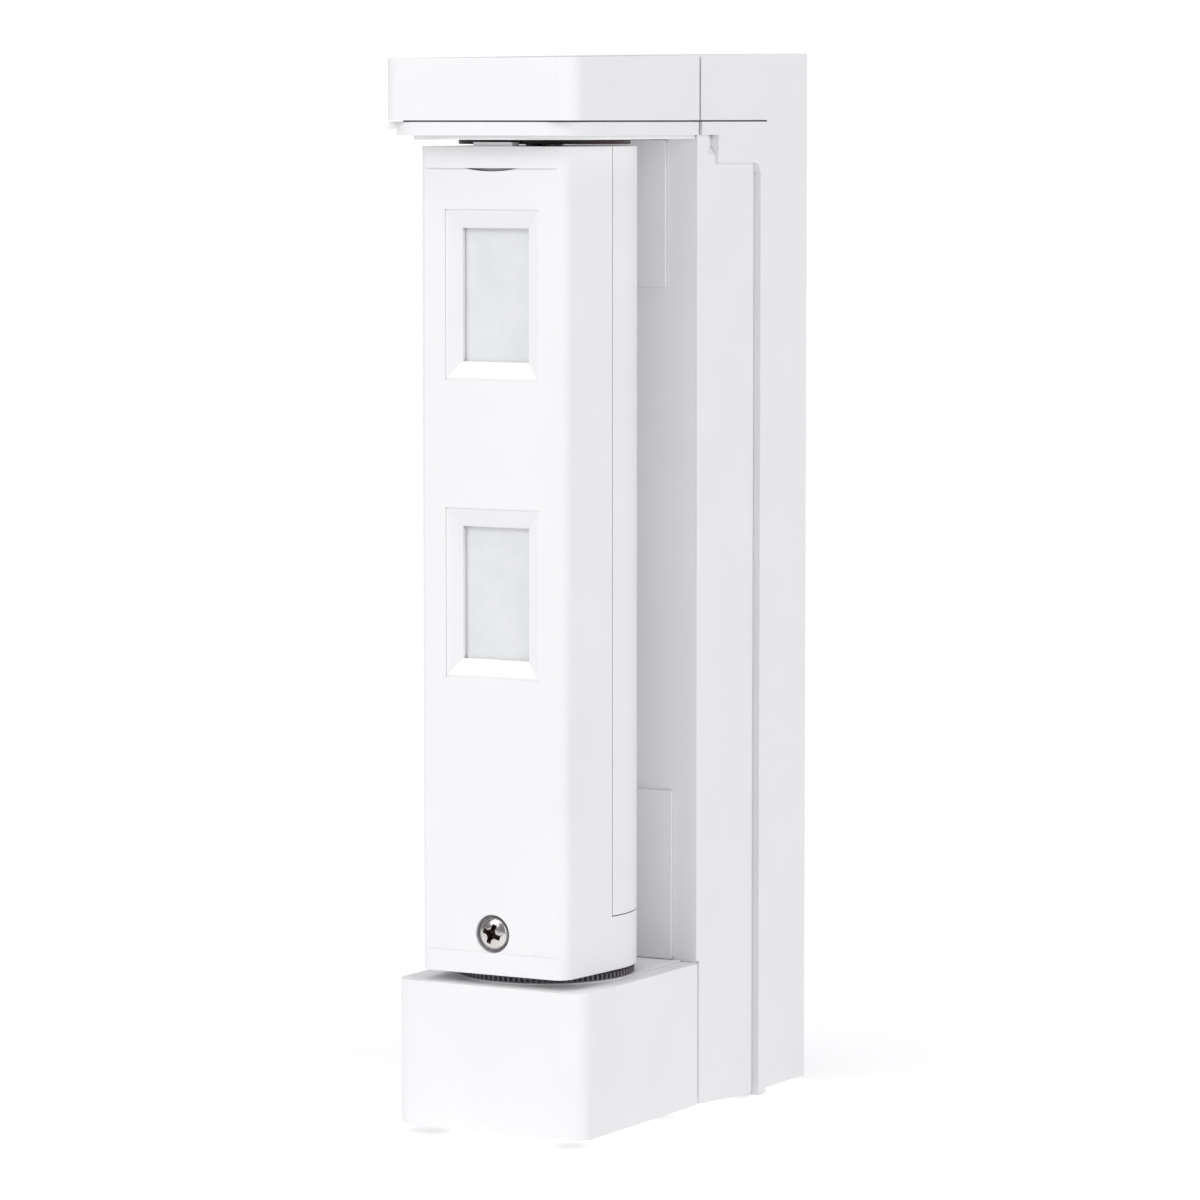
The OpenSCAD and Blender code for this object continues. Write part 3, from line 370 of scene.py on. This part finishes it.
def screw_profile(head_r, length):
    """Axial places and radii of a pan-head screw, from its crown to its tip, and which are threaded."""
    rows = []
    for i in range(1, CROWN_STEPS + 1):
        a = math.pi / 2 * i / CROWN_STEPS
        y = -SCREW_HEAD_H + SCREW_CROWN * (1 - math.cos(a))
        rows.append((y, head_r * math.sin(a) ** CROWN_POWER, False))
    rows.append((-HEAD_CHAMFER, head_r, False))
    rows.append((0, head_r - HEAD_CHAMFER, False))
    rows.append((SHANK_TOP, SHANK_R, False))
    thread_rows = round((length - TIP_BARE) / THREAD_PITCH * THREAD_STEPS)
    for i in range(thread_rows + 1):
        rows.append((THREAD_TOP + i * THREAD_PITCH / THREAD_STEPS, SHANK_R, True))
    rows.append((length, SHANK_R - TIP_TAPER, False))
    return rows


def turned_screw(head_r, length):
    """A closed mesh of a threaded screw along +Y, the underside of its head at the origin."""
    bm = bmesh.new()
    rings = []
    for y, r, threaded in screw_profile(head_r, length):
        ring = []
        for k in range(SCREW_SIDES):
            a = 2 * math.pi * k / SCREW_SIDES
            depth = 0.0
            if threaded:
                phase = (y / THREAD_PITCH - k / SCREW_SIDES) % 1.0
                depth = THREAD_DEPTH * abs(2 * phase - 1)
            ring.append(bm.verts.new(((r - depth) * math.cos(a), y, (r - depth) * math.sin(a))))
        rings.append(ring)
    for ring, after in zip(rings, rings[1:]):
        for k in range(SCREW_SIDES):
            j = (k + 1) % SCREW_SIDES
            bm.faces.new((ring[k], ring[j], after[j], after[k]))
    for ring, y in ((rings[0], -SCREW_HEAD_H), (rings[-1], length + TIP_POINT)):
        middle = bm.verts.new((0, y, 0))
        for k in range(SCREW_SIDES):
            bm.faces.new((ring[k], ring[(k + 1) % SCREW_SIDES], middle))
    return mesh_from(bm, "screw_blank")


def cross_recess():
    """The tapered cutter of a cross recess, pointing along +Y from the top of the head."""
    top, bottom = -SCREW_HEAD_H - RECESS_ABOVE, -SCREW_HEAD_H + RECESS_DEPTH
    bm = bmesh.new()
    for i in range(4):
        turn = Matrix.Rotation(math.radians(RECESS_TURN + 90 * i), 4, "Y")
        corners = []
        for y, (reach, half) in ((top, RECESS_TOP), (bottom, RECESS_FLOOR)):
            for x, z in ((-RECESS_START, -half), (reach, -half), (reach, half), (-RECESS_START, half)):
                corners.append(bm.verts.new(turn @ Vector((x, y, z))))
        low, high = corners[:4], corners[4:]
        bm.faces.new(low)
        bm.faces.new(reversed(high))
        for k in range(4):
            j = (k + 1) % 4
            bm.faces.new((low[j], low[k], high[k], high[j]))
    middle = Matrix.Translation((0, (top + bottom) / 2 + RECESS_START, 0))
    bmesh.ops.create_cone(bm, cap_ends=True, segments=RECESS_CONE_SIDES,
                          radius1=RECESS_CONE[0], radius2=RECESS_CONE[1],
                          depth=bottom - top + 2 * RECESS_START,
                          matrix=middle @ Matrix.Rotation(math.pi / 2, 4, "X"))
    return mesh_from(bm, "cross_recess", smooth=False)


def applied(obj):
    """The object's mesh with its modifiers applied."""
    deps = bpy.context.evaluated_depsgraph_get()
    return bpy.data.meshes.new_from_object(obj.evaluated_get(deps))


def make_lock_screw():
    """A detailed cross-recessed screw in the place of the plain one."""
    low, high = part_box("lock_screw")
    head_r = (high.x - low.x) / 2
    seat = Vector(((low.x + high.x) / 2, low.y + SCREW_HEAD_H, (low.z + high.z) / 2))
    blank = bpy.data.objects.new("screw_blank", turned_screw(head_r, high.y - seat.y - TIP_POINT))
    cutter = bpy.data.objects.new("screw_cutter", cross_recess())
    blank.data.materials.append(materials["screw_steel"])
    # The recess faces take the dark material: painted shade in the cross recess
    cutter.data.materials.append(materials["recess_painted_shade"])
    for obj in (blank, cutter):
        bpy.context.scene.collection.objects.link(obj)
    cut = blank.modifiers.new("recess", "BOOLEAN")
    cut.object = cutter
    cut.operation = "DIFFERENCE"
    cut.solver = "EXACT"
    cut.use_self = True
    cut.material_mode = "TRANSFER"
    mesh = applied(blank)
    for obj in (blank, cutter):
        bpy.data.objects.remove(obj)
    mesh.transform(Matrix.Translation(seat))
    mesh.name = "cross_screw"
    screw = new_object("cross_screw", mesh, "lock_screw")
    add_bevel(screw, SCREW_BEVEL, angle=40)
    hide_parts("lock_screw")


make_lock_screw()

# ---------------------------------------------------------------- parts on the sensor board

# Each part's width, its height along the board and how far it stands out
CAPACITOR = (1.2 * MM, 2.0 * MM, 0.8 * MM)
END_CAP = (1.2 * MM, 0.3 * MM, 0.82 * MM)
RESISTOR = (1.3 * MM, 1.6 * MM, 0.5 * MM)
CHIP = (3.9 * MM, 4.9 * MM, 1.4 * MM)
BLOCKING_CAP = (2.0 * MM, 1.2 * MM, 0.9 * MM)
SOCKET = (12 * MM, 4.2 * MM, 4.4 * MM)
SOCKET_PIN = (0.6 * MM, 0.6 * MM, 5.2 * MM)

# Places on the board
ROW_COUNT = 3
ROW_PITCH = 5 * MM
ROW_DROP = 4 * MM
END_CAP_OFFSET = 1.15 * MM
RESISTOR_DROP = 2.5 * MM
CHIP_TO_SWITCH = 5 * MM
BLOCKING_CAP_X = 7.5 * MM
BLOCKING_CAP_RISE = 1.4 * MM
BLOCKING_CAP_PITCH = 2.6 * MM
SOCKET_UP = 3.2 * MM
SOCKET_PINS = 4
SOCKET_PITCH = 2.5 * MM
LEADS_PER_SIDE = 4
LEAD_PITCH = 1.27 * MM
LEAD_REACH = 0.9 * MM
LEAD_UNDER = 0.1 * MM
LEAD_HALF_W = 0.2 * MM
LEAD_THICK = 0.18 * MM
PART_BEVEL = 0.08 * MM


def part_row(bm, x, z, size, front_y, count=1, pitch=0):
    """Equal small boxes on the board's front face, the first at z and the rest below it."""
    width, tall, thick = size
    for i in range(count):
        at = z - i * pitch
        add_box(bm, (x - width / 2, front_y - thick, at - tall / 2), (x + width / 2, front_y, at + tall / 2))


def leads(bm, z, front_y):
    """Flat leads on both sides of a chip on the board's middle line."""
    half = CHIP[0] / 2
    for i in range(LEADS_PER_SIDE):
        at = z + (i - (LEADS_PER_SIDE - 1) / 2) * LEAD_PITCH
        for s in (-1, 1):
            x0, x1 = sorted((s * (half - LEAD_UNDER), s * (half + LEAD_REACH)))
            add_box(bm, (x0, front_y - LEAD_THICK, at - LEAD_HALF_W), (x1, front_y, at + LEAD_HALF_W))


def make_board_parts():
    """Chips, capacitors, resistors and a plug socket on the front of the sensor board."""
    low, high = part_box("sensor_board")
    front = low.y
    upper_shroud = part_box("upper_shroud")[1]
    lower_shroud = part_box("lower_shroud")[1]
    side_x = (lower_shroud.x + high.x) / 2
    switch_low, switch_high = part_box("option_switch")
    black, tan, tin, white = (bmesh.new() for _ in range(4))
    for s in (-1, 1):
        x = s * side_x
        for top in (upper_shroud.z, lower_shroud.z):
            z = top - ROW_DROP
            part_row(tan, x, z, CAPACITOR, front, ROW_COUNT, ROW_PITCH)
            part_row(black, x, z - RESISTOR_DROP, RESISTOR, front, ROW_COUNT, ROW_PITCH)
            part_row(tin, x, z + END_CAP_OFFSET, END_CAP, front, ROW_COUNT, ROW_PITCH)
            part_row(tin, x, z - END_CAP_OFFSET, END_CAP, front, ROW_COUNT, ROW_PITCH)
    for z in (switch_high.z + CHIP_TO_SWITCH, switch_low.z - CHIP_TO_SWITCH):
        part_row(black, 0, z, CHIP, front)
        leads(tin, z, front)
        for s in (-1, 1):
            x = s * BLOCKING_CAP_X
            part_row(tan, x, z + BLOCKING_CAP_RISE, BLOCKING_CAP, front, 2, BLOCKING_CAP_PITCH)
    socket_z = low.z + SOCKET_UP
    part_row(white, 0, socket_z, SOCKET, front)
    for i in range(SOCKET_PINS):
        pin_x = (i - (SOCKET_PINS - 1) / 2) * SOCKET_PITCH
        part_row(tin, pin_x, socket_z, SOCKET_PIN, front)
    for bm, name, material, slot in (
        (black, "board_chips", "inner_plastic", "inner_plastic"),
        (tan, "board_capacitors", "chip_tan", "switch_body"),
        (tin, "board_leads", "steel", "steel"),
        (white, "board_socket", "lever_white", "lever_white"),
    ):
        obj = new_object(name, mesh_from(bm, name, smooth=False), "head", materials[material])
        add_bevel(obj, PART_BEVEL)


make_board_parts()

# ---------------------------------------------------------------- stage, light and camera

centre = (cad_low + cad_high) / 2


def towards(azimuth, elevation):
    """Unit vector from the object to a light or camera. Azimuth 0 is in front, 90 to the right."""
    a, e = math.radians(azimuth), math.radians(elevation)
    return Vector((math.sin(a) * math.cos(e), -math.cos(a) * math.cos(e), math.sin(e)))


def make_camera():
    """The camera of the main view."""
    aim = Vector((0, centre.y, -CAMERA_AIM_DROP))
    back = towards(CAMERA_AZIMUTH, CAMERA_HEIGHT_ANGLE)
    data = bpy.data.cameras.new("camera")
    data.lens = CAMERA_LENS
    data.sensor_width = CAMERA_SENSOR
    data.clip_start, data.clip_end = CAMERA_CLIP
    cam = bpy.data.objects.new("camera", data)
    cam.location = aim + back * CAMERA_DISTANCE
    cam.rotation_euler = (-back).to_track_quat("-Z", "Y").to_euler()
    bpy.context.scene.collection.objects.link(cam)
    bpy.context.scene.camera = cam


def make_floor():
    """A plain pale floor that glows a little, so that it stays as white as the backdrop."""
    bm = bmesh.new()
    bmesh.ops.create_grid(bm, x_segments=1, y_segments=1, size=FLOOR_HALF_SIZE)
    bmesh.ops.translate(bm, verts=bm.verts, vec=(0, 0, cad_low.z - FLOOR_DROP))
    floor = new_object("floor", mesh_from(bm, "floor", smooth=False))
    n = Nodes("floor")
    n.to(n.ramp(n.noise(3), (0.94, 0.94, 0.94), (0.95, 0.95, 0.95)), "Base Color")
    n.set(Roughness=0.9, Emission_Strength=FLOOR_GLOW)
    n.bsdf.inputs["Emission Color"].default_value = PURE_WHITE
    floor.data.materials.append(n.mat)
    return floor


def add_lamp(name, data, back, place=(0, 0, 0)):
    """A lamp that shines against the direction back."""
    lamp = bpy.data.objects.new(name, data)
    lamp.location = place
    lamp.rotation_euler = (-back).to_track_quat("-Z", "Y").to_euler()
    bpy.context.scene.collection.objects.link(lamp)
    return lamp


def sun_light(name, azimuth, elevation, strength, spread, colour=(1, 1, 1)):
    """A broad, even studio light from far away."""
    data = bpy.data.lights.new(name, "SUN")
    data.energy = strength
    data.angle = math.radians(spread)
    data.color = colour
    return add_lamp(name, data, towards(azimuth, elevation))


def soft_box(name, azimuth, elevation, power):
    """A square panel light near the top of the object, so that the light falls off downwards."""
    data = bpy.data.lights.new(name, "AREA")
    data.energy = power
    data.size = SOFT_BOX_SIDE
    back = towards(azimuth, elevation)
    place = Vector((0, centre.y, cad_high.z)) + back * SOFT_BOX_DISTANCE
    return add_lamp(name, data, back, place)


def spare(lamp, obj):
    """Keeps a lamp's light, and so its long shadow, off an object."""
    spared = bpy.data.collections.new("unlit_by_" + lamp.name)
    spared.objects.link(obj)
    lamp.light_linking.receiver_collection = spared
    spared.collection_objects[0].light_linking.link_state = "EXCLUDE"


def make_world():
    """Even white surroundings: pure white behind the object, dimmer as light."""
    world = bpy.data.worlds.new("studio")
    bpy.context.scene.world = world
    world.use_nodes = True
    nodes, links = world.node_tree.nodes, world.node_tree.links
    light = nodes["Background"]
    light.inputs["Color"].default_value = WORLD_TINT
    light.inputs["Strength"].default_value = WORLD_LIGHT
    backdrop = nodes.new("ShaderNodeBackground")
    backdrop.inputs["Color"].default_value = PURE_WHITE
    backdrop.inputs["Strength"].default_value = BACKDROP_LIGHT
    path = nodes.new("ShaderNodeLightPath")
    mix = nodes.new("ShaderNodeMixShader")
    links.new(path.outputs["Is Camera Ray"], mix.inputs["Fac"])
    links.new(light.outputs["Background"], mix.inputs[1])
    links.new(backdrop.outputs["Background"], mix.inputs[2])
    links.new(mix.outputs["Shader"], nodes["World Output"].inputs["Surface"])


make_camera()
floor = make_floor()
make_world()
key = sun_light("key", azimuth=-22, elevation=35, strength=1.19, spread=30, colour=(1.0, 0.995, 0.985))
sun_light("fill", azimuth=80, elevation=20, strength=0.58, spread=45, colour=(1.0, 0.995, 0.975))
sun_light("top", azimuth=0, elevation=80, strength=1.1, spread=45)
side_box = soft_box("side_box", azimuth=78, elevation=30, power=0.4)
front_box = soft_box("front_box", azimuth=-15, elevation=35, power=0.22)
for lamp in (key, side_box, front_box):
    spare(lamp, floor)
bpy.context.scene.view_settings.view_transform = "Standard"
